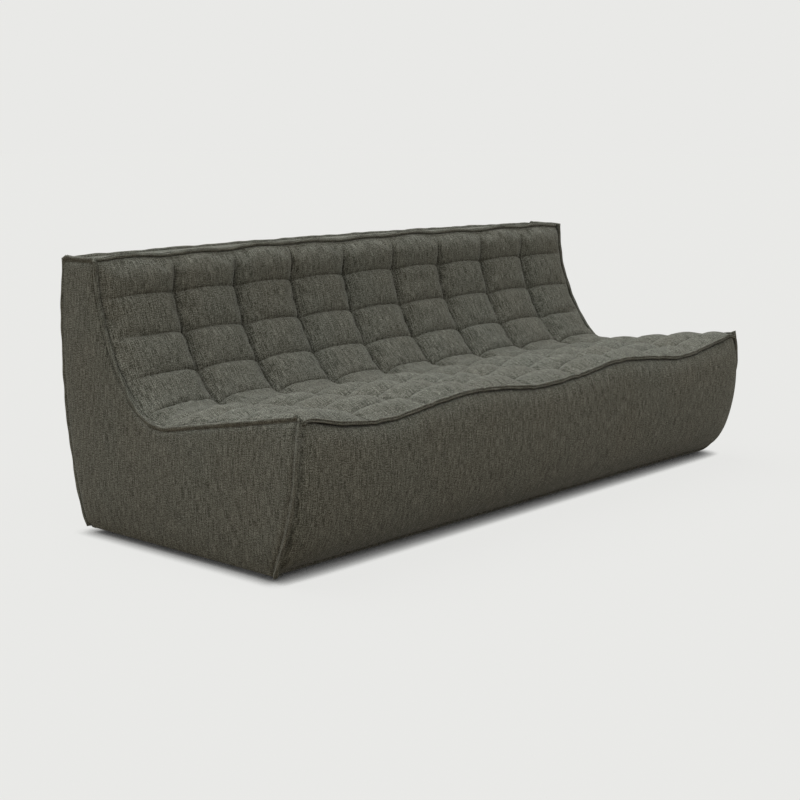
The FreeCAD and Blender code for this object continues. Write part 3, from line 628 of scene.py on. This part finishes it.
def swelled(face, sewn):
    """How far each point of the quilted face moves when the closed pad is blown up as cloth that is a little
    too big for it, held along every seam and underneath; moves are capped."""
    points, faces = pad_shell(face)
    mesh = bpy.data.meshes.new("pad_trial")
    mesh.from_pydata(points.tolist(), [], faces.tolist())
    face_outward(mesh)
    trial = bpy.data.objects.new("pad_trial", mesh)
    bpy.context.scene.collection.objects.link(trial)
    held = trial.vertex_groups.new(name="sewn")
    loose = np.flatnonzero(~sewn.ravel())
    fixed = np.setdiff1d(np.arange(len(points)), loose)
    held.add(fixed.tolist(), 1.0, "REPLACE")
    cloth = trial.modifiers.new("cloth", "CLOTH")
    settings = cloth.settings
    for name, value in (
            ("quality", 6), ("mass", 0.3), ("tension_stiffness", 12.0), ("compression_stiffness", 12.0),
            ("shear_stiffness", 4.0), ("bending_stiffness", 0.35), ("shrink_min", -0.025),
            ("use_pressure", True), ("uniform_pressure_force", 4.0), ("vertex_group_mass", "sewn")):
        setattr(settings, name, value)
    settings.effector_weights.gravity = 0.0
    cloth.point_cache.frame_start = 1
    cloth.point_cache.frame_end = SWELL_STEPS
    for step in range(1, SWELL_STEPS + 1):
        bpy.context.scene.frame_set(step)
    blown = trial.evaluated_get(bpy.context.evaluated_depsgraph_get()).data
    after = np.empty(len(points) * 3, np.float32)
    blown.vertices.foreach_get("co", after)
    move = (after.reshape(-1, 3) - points)[:face.shape[0] * face.shape[1]].reshape(face.shape)
    bpy.data.objects.remove(trial)
    bpy.context.scene.frame_set(1)
    length = np.linalg.norm(move, axis=-1, keepdims=True)
    return move * np.minimum(1, SWELL_LIMIT / np.maximum(length, 1e-9))


def read_grid(field, down, across):
    """Values of an even grid at any row and column, weighted from the four points round each place."""
    row = np.clip(np.floor(down).astype(int), 0, field.shape[0] - 2)
    column = np.clip(np.floor(across).astype(int), 0, field.shape[1] - 2)
    part_y, part_x = (down - row)[..., None], (across - column)[..., None]
    upper = field[row, column] * (1 - part_x) + field[row, column + 1] * part_x
    lower = field[row + 1, column] * (1 - part_x) + field[row + 1, column + 1] * part_x
    return upper * (1 - part_y) + lower * part_y


def counts(steps, cells):
    """Grid counts over all cells from the steps inside one cell."""
    return np.append((np.arange(cells)[:, None] + np.array(steps)[None]).ravel(), cells)


fine_x = np.array([0, 0.008, 0.018, 0.033, 0.055, 0.085, 0.12, 0.165, 0.22, 0.285, 0.36, 0.43])
fine_y = np.array([0, 0.02, 0.045, 0.08, 0.125, 0.18, 0.25, 0.33, 0.415])
across_counts = counts([*fine_x, 0.5, *(1 - fine_x[:0:-1])], COLUMNS)
down_counts = counts([*fine_y, 0.5, *(1 - fine_y[:0:-1])], ROWS)
pad_across, pad_down = np.meshgrid(across_counts, down_counts)
PLAIN_CROWN, BLOWN_CROWN, GROOVE = 0.030, 0.026, 0.014
CLOTH_COLUMN, CLOTH_ROW = 0.2316, 0.1157
even_x, even_y = 14, 10
even_across, even_down = np.meshgrid(np.linspace(0, COLUMNS, COLUMNS * even_x + 1),
                                     np.linspace(0, ROWS, ROWS * even_y + 1))
sewn_lines = np.isclose(even_across, even_across.round()) | np.isclose(even_down, even_down.round())
move = swelled(tufted_surface(even_across, even_down, BLOWN_CROWN, 0.0), sewn_lines)
pad_face = tufted_surface(pad_across, pad_down, BLOWN_CROWN, GROOVE)
pad_face = pad_face + read_grid(move, pad_down * even_y, pad_across * even_x)
pad_points, pad_faces = pad_shell(pad_face)
pad_uv = np.stack([pad_points[:, 0], pad_points[:, 2]], 1)
pad_uv[:pad_across.size] = np.stack([pad_across * CLOTH_COLUMN, -pad_down * CLOTH_ROW], -1).reshape(-1, 2)
pad = new_piece("quilted_pad", [(pad_points, pad_faces, pad_uv, 0)], [linen])
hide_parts("tufted_pad")


# Front cover
# One panel of the same cloth from the wavy seat-front seam down the leaning front, turned under the base
# and stapled there; it bellies out over its foam and is drawn in at the corners.
CLOTH_THICK, SEAM_TUCK = 0.0012, 0.003


def turned_under(x, y, z, inward, radius, flap):
    """A panel carried on below its last row: a quarter circle of a radius, then a flat flap going inward.
    Gives its points and how far down the cloth they are."""
    turn = np.linspace(0, np.pi / 2, 6)[1:, None]
    low_y = y[-1] + inward * radius * (1 - np.cos(turn))
    low_z = z[-1] - radius * np.sin(turn)
    y = np.concatenate([y, low_y, low_y[-1:] + inward * flap])
    z = np.concatenate([z, low_z, low_z[-1:]])
    x = np.concatenate([x, np.repeat(x[-1:], len(z) - len(x), 0)])
    fall = np.cumsum(np.hypot(np.diff(y, axis=0, prepend=y[:1]), np.diff(z, axis=0, prepend=z[:1])), 0)
    return np.stack([x, y, z], -1), fall


def stretched_sheet(name, points, uv, outward, node, keep=None):
    """A cover panel: a grid of points made into cloth about a millimetre thick, in place of its CAD panel."""
    rows, columns = points.shape[:2]
    faces = grid_faces(rows, columns)
    if keep is not None:
        faces = faces[keep.ravel()]
    used, places = np.unique(faces, return_inverse=True)
    piece = new_piece(name, [(points.reshape(-1, 3)[used], places.reshape(faces.shape),
                              uv.reshape(-1, 2)[used], 0)], [linen], outward)
    thick = piece.modifiers.new("cloth", "SOLIDIFY")
    thick.thickness = CLOTH_THICK
    thick.offset = -1
    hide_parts(node)


# Points crowd towards the ends as a sine. The foot curls up at the ends, most at the right one. The belly
# is a quarter circle plus a high power towards the ends, times a high power from head to foot. The weave of
# each panel starts at its own place along the roll of cloth.
FRONT_ON_ROLL = 5.0
part_across = np.sin(np.linspace(-1, 1, 161) * 1.48)[None] / np.sin(1.48)
part_down = np.linspace(0, 1, 37)[:, None]
head = front_seam(part_across * 1.024) - 0.008
to_right = np.clip(part_across, 0, 1)
foot = FLOOR_GAP + 0.012 + 0.006 * np.abs(part_across) ** 60 - 0.006 * to_right ** 6
foot = foot + CORNER_LIFT * to_right ** 90
panel_z = head + part_down * (foot - head)
panel_x = part_across * (end_seam(front_depth(panel_z, SEAM), panel_z) - SEAM_TUCK)
from_end = np.maximum((1 - np.abs(part_across)) * 1.03 - 0.010, 0)
belly = 0.35 * bolster(from_end, 0.012) + 0.65 * (1 - np.abs(part_across) ** 22)
belly = belly * (1 - np.abs(2 * part_down - 1) ** 8) ** 0.8
ripple = 0.0014 * np.sin(9.0 * panel_x + 2.0) * np.sin(np.pi * part_down) * (1 - part_across ** 4)
proud = (0.023 + 0.013 * np.clip(part_down * 2 - 0.6, 0, 1)) * belly + ripple
points, fall = turned_under(panel_x, front_depth(panel_z, SEAM - proud), panel_z, 1, radius=0.012, flap=0.030)
stretched_sheet("front_panel_cloth", points, np.stack([points[..., 0] + FRONT_ON_ROLL, 0.43 - fall], -1),
                (0, -1, 0), "front_cover")


# Rear cover
# The plain back panel, from the rear top seam down the bowed outer board and under the base.
# It lies nearly flat on the board, with a slight belly from the wadding.
REAR_ON_ROLL = 9.0


def rear_seam(part):
    """Height of the rear top seam: a parabola along the width."""
    return TOP_SEAM + 0.001 + 0.008 * (1 - part ** 2)


part_across = np.linspace(-1, 1, 73)[None]
part_down = np.linspace(0, 1, 41)[:, None]
head = rear_seam(part_across)
panel_z = head + part_down * (FLOOR_GAP + 0.010 - head)
panel_x = part_across * (end_seam(0.4, panel_z) - SEAM_TUCK)
belly = (1 - np.abs(part_across) ** 9) * np.sin(np.pi * part_down) ** 0.6
panel_y = rear_depth(np.minimum(panel_z, TOP), SEAM - 0.006 * belly)
points, fall = turned_under(panel_x, panel_y, panel_z, -1, radius=0.010, flap=0.012)
stretched_sheet("rear_panel_cloth", points, np.stack([-points[..., 0] + REAR_ON_ROLL, 0.75 - fall], -1),
                (0, 1, 0), "rear_cover")


# Top cover
# A narrow band of the cloth over the top rail, sewn between the two top welts.
# The foam under it puffs it up a little between its seams and its ends.
TOP_ON_ROLL = 13.0
part_across = np.linspace(-1, 1, 145)[None]
part_down = np.linspace(0, 1, 11)[:, None]
band_x = part_across * TOP_HALF + 0 * part_down
pad_edge = pad_face[0]
band_front_y = np.interp(band_x[0], pad_edge[:, 0], pad_edge[:, 1]) + 0.010
band_front_z = np.interp(band_x[0], pad_edge[:, 0], pad_edge[:, 2])
band_rear_z = rear_seam(part_across[0])
band_rear_y = rear_depth(np.minimum(band_rear_z, TOP), SEAM)
puff = np.sin(np.pi * part_down) ** 0.7 * (1 - np.abs(part_across) ** 12)
band_y = band_front_y + part_down * (band_rear_y - band_front_y)
band_z = band_front_z + part_down * (band_rear_z - band_front_z) + 0.005 * puff
stretched_sheet("top_band_cloth", np.stack([band_x, band_y, band_z], -1),
                np.stack([band_x + TOP_ON_ROLL, band_y], -1), (0, 0, 1),
                "top_cover")


# Side covers
# A flat panel of cloth over each foam end, sewn into the welt all round and stapled under the base.
# It lies smooth, swelling a few millimetres in the middle and drawn in towards the front edge.
SIDE_GRID = 97, 49
SIDE_ON_ROLL = 17.0
SIDE_TURN, SIDE_FLAP = 0.012, 0.022
end_yz, rear_corner = end_outline(*SIDE_GRID, bottom=FLOOR_GAP + SIDE_TURN, sunk=SEAM, edge=SEAM)
end_y, end_z = end_yz[..., 0], end_yz[..., 1]
along = np.linspace(0, 1, SIDE_GRID[0])[:, None]
from_rim = np.minimum(np.minimum(along, 1 - along), 0.4 * np.linspace(0, 1, SIDE_GRID[1])[None])
end_x = end_seam(end_y, end_z) + 0.0004 + 0.0070 * swell(*SIDE_GRID, 0.55) + 0.0035 * bolster(from_rim, 0.016)
# Seen from the end, depth runs across the panel and width goes inward, so the two change places.
wrap, _ = turned_under(end_y.T, end_x.T, end_z.T, -1, radius=SIDE_TURN, flap=SIDE_FLAP)
wrap_y, wrap_x, wrap_z = wrap.T
keep = np.ones((wrap_x.shape[0] - 1, wrap_x.shape[1] - 1), bool)
keep[rear_corner - 1:, SIDE_GRID[1] - 1:] = False
for name, side in ENDS:
    lifted_z = wrap_z + drawn_up(side, wrap_y, wrap_z)
    flap_uv = (HALF_WIDTH - wrap_x) * (lifted_z < 0.0185)
    stretched_sheet(name + "_side_cloth", np.stack([side * wrap_x, wrap_y, lifted_z], -1),
                    np.stack([side * wrap_y + SIDE_ON_ROLL, lifted_z + flap_uv], -1),
                    (side, 0, 0), name + "_side_cover", keep)


# Welts
# Flat flanges of doubled cloth on every outer seam: both edges are turned in, laid together and stitched
# through, so the flange has two soft lips and a row of stitches sunk at its root.
WELT_ON_ROLL = 21.0
lip = np.array([(-5.0, 1.6), (-0.5, 1.5), (1.4, 1.2), (2.8, 3.8), (6.0, 5.4), (8.8, 5.6), (11.0, 4.8),
                (12.0, 3.0), (11.4, 1.3)]) / 1000
LIPS = np.concatenate([lip, [(0.008, 0.0)], lip[::-1] * [1, -1]])
thread, thread_shader, thread_place = new_finish("sewing_thread")
twist = thread_place.noise((900.0, 900.0, 900.0), 2.0)
thread_place.fill(thread_shader, {"Base Color": twist.mix((0.070, 0.068, 0.054), (0.17, 0.168, 0.14)),
                                  "Roughness": twist * 0.2 + 0.55, "Normal": twist.bump(0.0003, 0.5)})


def spread(line, fields, step):
    """A line and the values that go with it, read again at an even step along it."""
    far = np.append(0, np.cumsum(np.linalg.norm(np.diff(line, axis=0), axis=1)))
    at = np.linspace(0, far[-1], max(3, int(far[-1] / step)))
    pick = [np.stack([np.interp(at, far, each[:, i]) for i in range(3)], 1) for each in (line, *fields)]
    return at, pick


def flange(line, out, across, seed):
    """The lip profile carried along a seam: out is the way it stands and, by its length, how high, and across
    is the way of its thickness. Two sine waves make its height and thickness waver, and two more its lean."""
    at, (line, out, across) = spread(line, (out, across), 0.007)
    stretch = np.linalg.norm(out, axis=1, keepdims=True)
    out = out / stretch
    across = unit(across)
    waver = 0.05 * np.sin(at * 41 + seed) + 0.05 * np.sin(at * 97 + 2 * seed)
    lean = 0.0009 * np.sin(at * 23 + 3 * seed) + 0.0006 * np.sin(at * 61 + seed)
    high = LIPS[:, 0][None] * (1 + waver[:, None]) * np.where(LIPS[:, 0] > 4e-3, stretch, 1.0)
    wide = LIPS[:, 1][None] * (1 + 0.7 * waver[:, None]) + lean[:, None] * np.clip(LIPS[:, 0] / 0.01, 0, 1)
    points = line[:, None] + high[..., None] * out[:, None] + wide[..., None] * across[:, None]
    rows, columns = points.shape[:2]
    faces = [*grid_faces(rows, columns)]
    last = np.arange(rows - 1) * columns
    faces += [*np.stack([last + columns - 1, last, last + columns, last + 2 * columns - 1], 1)]
    faces += [np.arange(columns)[::-1], (rows - 1) * columns + np.arange(columns)]
    girth = np.cumsum(np.hypot(*np.diff(LIPS, axis=0, prepend=LIPS[:1]).T))
    uv = np.stack(np.broadcast_arrays(girth[None] + WELT_ON_ROLL + seed, at[:, None]), -1)
    return points.reshape(-1, 3), faces, uv.reshape(-1, 2), 0


def stitches(line, out, across, height, offset):
    """Lockstitches along a seam: grains of thread under 5 mm long and 6 mm apart, each three five-sided rings
    closed to a point at both ends, laid at a height and an offset on the flange."""
    at, (line, out, across) = spread(line, (out, across), 0.006)
    out = unit(out)
    ahead = unit(np.gradient(line, axis=0))
    middle = line + height * out + offset * across
    turn = np.arange(5) * 2 * np.pi / 5
    shape = np.concatenate([[(-2.3, 0, 0)]] + [
        np.stack([np.full(5, place), radius * np.cos(turn), radius * np.sin(turn)], 1)
        for place, radius in ((-1.6, 0.36), (0, 0.5), (1.6, 0.36))] + [[(2.3, 0, 0)]]) / 1000
    points = (middle[:, None] + shape[None, :, :1] * ahead[:, None] + shape[None, :, 1:2] * out[:, None]
              + shape[None, :, 2:] * across[:, None])
    # A grain has 17 points: a tip, rings that start at points 1, 6 and 11, and the other tip.
    ring = np.arange(5)
    after = np.roll(ring, -1)
    ends = [[0, 1 + after[i], 1 + i] for i in ring] + [[16, 11 + i, 11 + after[i]] for i in ring]
    sides = [[base + i, base + after[i], base + 5 + after[i], base + 5 + i] for base in (1, 6) for i in ring]
    first = np.arange(len(at)) * 17
    faces = [*(first[:, None, None] + np.array(ends)[None]).reshape(-1, 3)]
    faces += [*(first[:, None, None] + np.array(sides)[None]).reshape(-1, 4)]
    points = points.reshape(-1, 3)
    return points, faces, points[:, :2], 1


def welt(name, node, line, out, across, seed):
    """A welt with its stitches on both faces, standing for its CAD strip."""
    parts = [flange(line, out, across, seed)]
    parts += [stitches(line, out, across, 0.0014, offset) for offset in (0.0015, -0.0015)]
    piece = new_piece(name, parts, [linen, thread])
    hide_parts(node)


def long_welt(name, node, line, y, z, seed, high=1.0):
    """A welt along the width, standing the same way all along: y and z are the parts of that way."""
    out = np.tile([0.0, y, z], (len(line), 1)) * np.reshape(high, (-1, 1))
    welt(name, node, line, out, np.tile([0.0, z, -y], (len(line), 1)), seed)


def corner_fan(spot, before, after, drawn):
    """A corner of the seam: within a few millimetres the flange swings from one way to the other, and in the
    middle of the swing, where the cloth is folded, a half wave draws it out by a share of its height."""
    part = np.linspace(0, 1, 9)[1:-1, None]
    way = unit((1 - part) * before + part * after) * (1 + drawn * np.sin(np.pi * part))
    return np.concatenate([spot + (part - 0.5) * 0.006 * (after - before), way], 1)


# An end seam is one line: up the front, back over the seat, up the back, over the top and down the rear. Each
# row of it is a depth, a height and the two parts of the way that the welt stands there.
corner_y, corner_z, corner_down = seat_corner(SEAM, SEAM)
rise_z = np.linspace(FLOOR_GAP + 0.004, corner_z - 0.005, 60)
front_y = front_depth(rise_z, SEAM)
front_leg = np.stack([front_y, rise_z, (front_y - FRONT_Y) / FRONT_R, (rise_z - FRONT_Z) / FRONT_R], 1)
down = np.linspace(corner_down - 0.005, top_distance(SEAM, SEAM) + 0.004, 140)
seat_leg = np.stack(sitting_line(down, SEAM), 1)
top_front = np.array([seat_leg[-1, 0], TOP_SEAM, 0, 1])
top_rear = np.array([rear_depth(TOP_SEAM, SEAM), TOP_SEAM, 0, 1])
top_leg = top_front + np.linspace(0.04, 0.96, 24)[:, None] * (top_rear - top_front)
fall_z = np.linspace(TOP_SEAM - 0.005, FLOOR_GAP + 0.004, 80)
rear_y = rear_depth(fall_z, SEAM)
rear_leg = np.stack([rear_y, fall_z, (rear_y - REAR_Y) / REAR_R, (fall_z - REAR_Z) / REAR_R], 1)
ring = np.concatenate([
    front_leg, corner_fan(np.array([corner_y, corner_z]), front_leg[-1, 2:], seat_leg[0, 2:], 0.8),
    seat_leg, corner_fan(top_front[:2], seat_leg[-1, 2:], top_leg[0, 2:], 0.35),
    top_leg, corner_fan(top_rear[:2], top_leg[-1, 2:], rear_leg[0, 2:], 0.1), rear_leg])
ring_y, ring_z = ring[:, 0], ring[:, 1]
# Down the front of the right end the welt is tucked back and stands lower, evenly more towards the floor, and
# its foot is lifted.
TUCK_TOP, TUCK_RUN, TUCK_BACK, TUCK_FLAT = 0.43, 0.26, 0.014, 0.85
FOOT_LIFT, FOOT_RUN = 0.026, 0.1
for name, side in ENDS:
    tucked = np.clip((TUCK_TOP - ring_z) / TUCK_RUN, 0, 1) * (ring_y < -0.3) * (side > 0)
    lifted = FOOT_LIFT * (1 - np.clip((ring_z - FLOOR_GAP) / FOOT_RUN, 0, 1)) * (tucked > 0)
    line = np.column_stack([side * end_seam(ring_y, ring_z), ring_y + TUCK_BACK * tucked, ring_z + lifted])
    out = np.column_stack([np.zeros(len(line)), ring[:, 2:] * (1 - TUCK_FLAT * tucked)[:, None]])
    across = np.tile([float(side), 0.0, 0.0], (len(line), 1))
    welt(name + "_end_welt", name + "_side_welt", line, out, across, 1.0 + side)

edge = np.concatenate([pad_face[-1, :1] - [0.008, 0, 0], pad_face[-1], pad_face[-1, -1:] + [0.008, 0, 0]])
lean = np.radians(10)
long_welt("seat_front_welt", "front_edge_welt", edge + [0, 0.001, -0.004], -np.cos(lean), np.sin(lean), 3.0)
long_welt("top_near_welt", "top_front_welt", pad_face[0] + [0, 0.006, 0.0], -0.45, 0.89, 4.0)
edge = np.stack([band_x[0], band_rear_y, band_rear_z], 1)
low_ends = 1 - 0.5 * np.abs(band_x[0] / band_x[0, -1]) ** 30
long_welt("top_far_welt", "top_rear_welt", edge, 0.96, 0.28, 5.0, low_ends)


# Dust cover
# Black non-woven cloth stapled across the underside between the frames, sagging a little between them.
dust, dust_shader, dust_place = new_finish("dust_cloth")
lay = dust_place.noise((160.0, 160.0, 160.0), 4.0, 0.7)
DOT_PITCH = 0.003
dots = dust_place.axis(0).wave(DOT_PITCH) * dust_place.axis(1).wave(DOT_PITCH)
dust_place.fill(dust_shader, {"Base Color": lay.mix((0.006, 0.006, 0.007), (0.030, 0.030, 0.032)),
                              "Roughness": lay * 0.2 + 0.75, "Normal": (dots * 0.5 + lay).bump(0.0004, 0.7)})
DUST_GRID = 33, 91
DUST_LEVEL, DUST_SAG = 0.0176, 0.0035
low_corner, high_corner = (np.array(corner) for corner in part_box("dust_cover"))
part_across, part_down = np.meshgrid(np.linspace(0, 1, DUST_GRID[1]), np.linspace(0, 1, DUST_GRID[0]))
sheet_x = low_corner[0] + part_across * (high_corner[0] - low_corner[0])
sheet_y = low_corner[1] + part_down * (high_corner[1] - low_corner[1])
sag = np.abs(np.sin(3 * np.pi * part_across)) ** 0.8 * np.sin(np.pi * part_down) ** 0.8
points = np.stack([sheet_x, sheet_y, DUST_LEVEL - DUST_SAG * sag], -1)
dust_sheet = new_piece("dust_sheet", [(points, grid_faces(*DUST_GRID), points[..., :2], 0)], [dust],
                       (0, 0, -1))
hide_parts("dust_cover")


# Glides and their screws
# Six turned plastic feet, each screwed up into a sole rail through a sunk hole.
# Matt black moulded plastic, scuffed at the rim; the screws are zinc-plated steel.
plastic, plastic_shader, plastic_place = new_finish("glide_plastic")
grit = plastic_place.noise((900.0, 900.0, 900.0), 2.0)
scuff = plastic_place.noise((60.0, 60.0, 200.0), 3.0)
plastic_place.fill(plastic_shader, {
    "Base Color": (scuff ** 2.0).mix((0.012, 0.012, 0.013), (0.06, 0.06, 0.06)),
    "Roughness": scuff * 0.25 + 0.4, "Normal": grit.bump(0.0002, 0.5)})
dress(plastic, "front_glides", "rear_glides")
zinc, zinc_shader, zinc_place = new_finish("zinc_steel")
spangle = zinc_place.noise((500.0, 500.0, 90.0), 3.0)
zinc_place.fill(zinc_shader, {
    "Base Color": spangle.mix((0.42, 0.42, 0.41), (0.66, 0.66, 0.64)), "Metallic": 1.0,
    "Roughness": spangle * 0.25 + 0.25, "Normal": spangle.bump(0.0001, 0.4)})
dress(zinc, "front_glide_screws", "rear_glide_screws")


# Studio
# A pale floor that runs into the backdrop without a line, a broad soft lamp overhead and a little behind, a
# weaker one at the front, and an even sky. To the camera the floor glows in the backdrop's colour with a
# painted
# contact shadow: ambient occlusion darkens the glow near the base, and a dim diffuse colour keeps a faint
# lamp shadow.
BACKDROP = (0.815, 0.815, 0.799)


def seen_plainly(wire):
    """1 for rays from the camera, and for those it sees in a gloss or through something clear; else 0."""
    rays = [wire.node("ShaderNodeLightPath", output=name) for name in
            ("Is Camera Ray", "Is Glossy Ray", "Is Transmission Ray")]
    either = wire.maths("MAXIMUM", rays[0], rays[1])
    return wire.maths("MAXIMUM", either, rays[2])


floor_finish, floor_shader, floor_place = new_finish("studio_floor")
floor_seen = seen_plainly(floor_place)
# Painted contact shadow: ambient occlusion darkens the floor's glow near the sofa's base.
contact_occlusion = floor_place.node("ShaderNodeAmbientOcclusion", {"samples": 8}, {"Distance": 0.045}, "AO")
painted_shadow_lightness = floor_place.maths("MINIMUM", floor_place.maths("MAXIMUM", (contact_occlusion - 0.15) * 1.25, 0.0), 1.0)
floor_place.fill(floor_shader, {
    "Base Color": floor_seen.mix((0.235, 0.190, 0.140), (0.04, 0.04, 0.039)), "Roughness": 1.0,
    "Specular IOR Level": 0.0, "Emission Strength": 1.0,
    "Emission Color": (floor_seen * painted_shadow_lightness).mix((0.0, 0.0, 0.0), (0.773, 0.773, 0.758))})
reach = np.linspace(-60, 60, 3)
floor_points = np.stack([*np.meshgrid(reach, reach), np.zeros((3, 3))], -1)
floor_mesh = bpy.data.meshes.new("floor")
floor_mesh.from_pydata(floor_points.reshape(-1, 3).tolist(), [], grid_faces(3, 3).tolist())
floor_mesh.materials.append(floor_finish)
floor = bpy.data.objects.new("floor", floor_mesh)
bpy.context.scene.collection.objects.link(floor)

world = bpy.data.worlds.new("studio")
bpy.context.scene.world = world
world.use_nodes = True
sky = Wire(world.node_tree)
backing = world.node_tree.nodes["Background"]
sky.fill(backing, {"Color": seen_plainly(sky).mix((0.415, 0.401, 0.368), BACKDROP), "Strength": 1.0})
for name, energy, turn in (("top_lamp", 1.95, (-26, -4)), ("front_lamp", 0.52, (34, -4))):
    lamp = bpy.data.lights.new(name, "SUN")
    lamp.energy = energy
    lamp.angle = np.radians(50)
    lamp.color = (0.96, 1.0, 1.0)
    lamp_stand = bpy.data.objects.new(name, lamp)
    lamp_stand.rotation_euler = (np.radians(turn[0]), np.radians(turn[1]), 0)
    bpy.context.scene.collection.objects.link(lamp_stand)
bpy.context.scene.view_settings.view_transform = "Standard"

camera_data = bpy.data.cameras.new("camera")
camera_data.lens = 68.54
camera_data.sensor_width = 36.0
camera_data.clip_end = 300.0
camera = bpy.data.objects.new("camera", camera_data)
camera.location = (-3.5253, -2.9787, 1.0929)
camera.rotation_euler = (np.radians(90 - 10.019), 0, -np.radians(48.414))
bpy.context.scene.collection.objects.link(camera)
bpy.context.scene.camera = camera
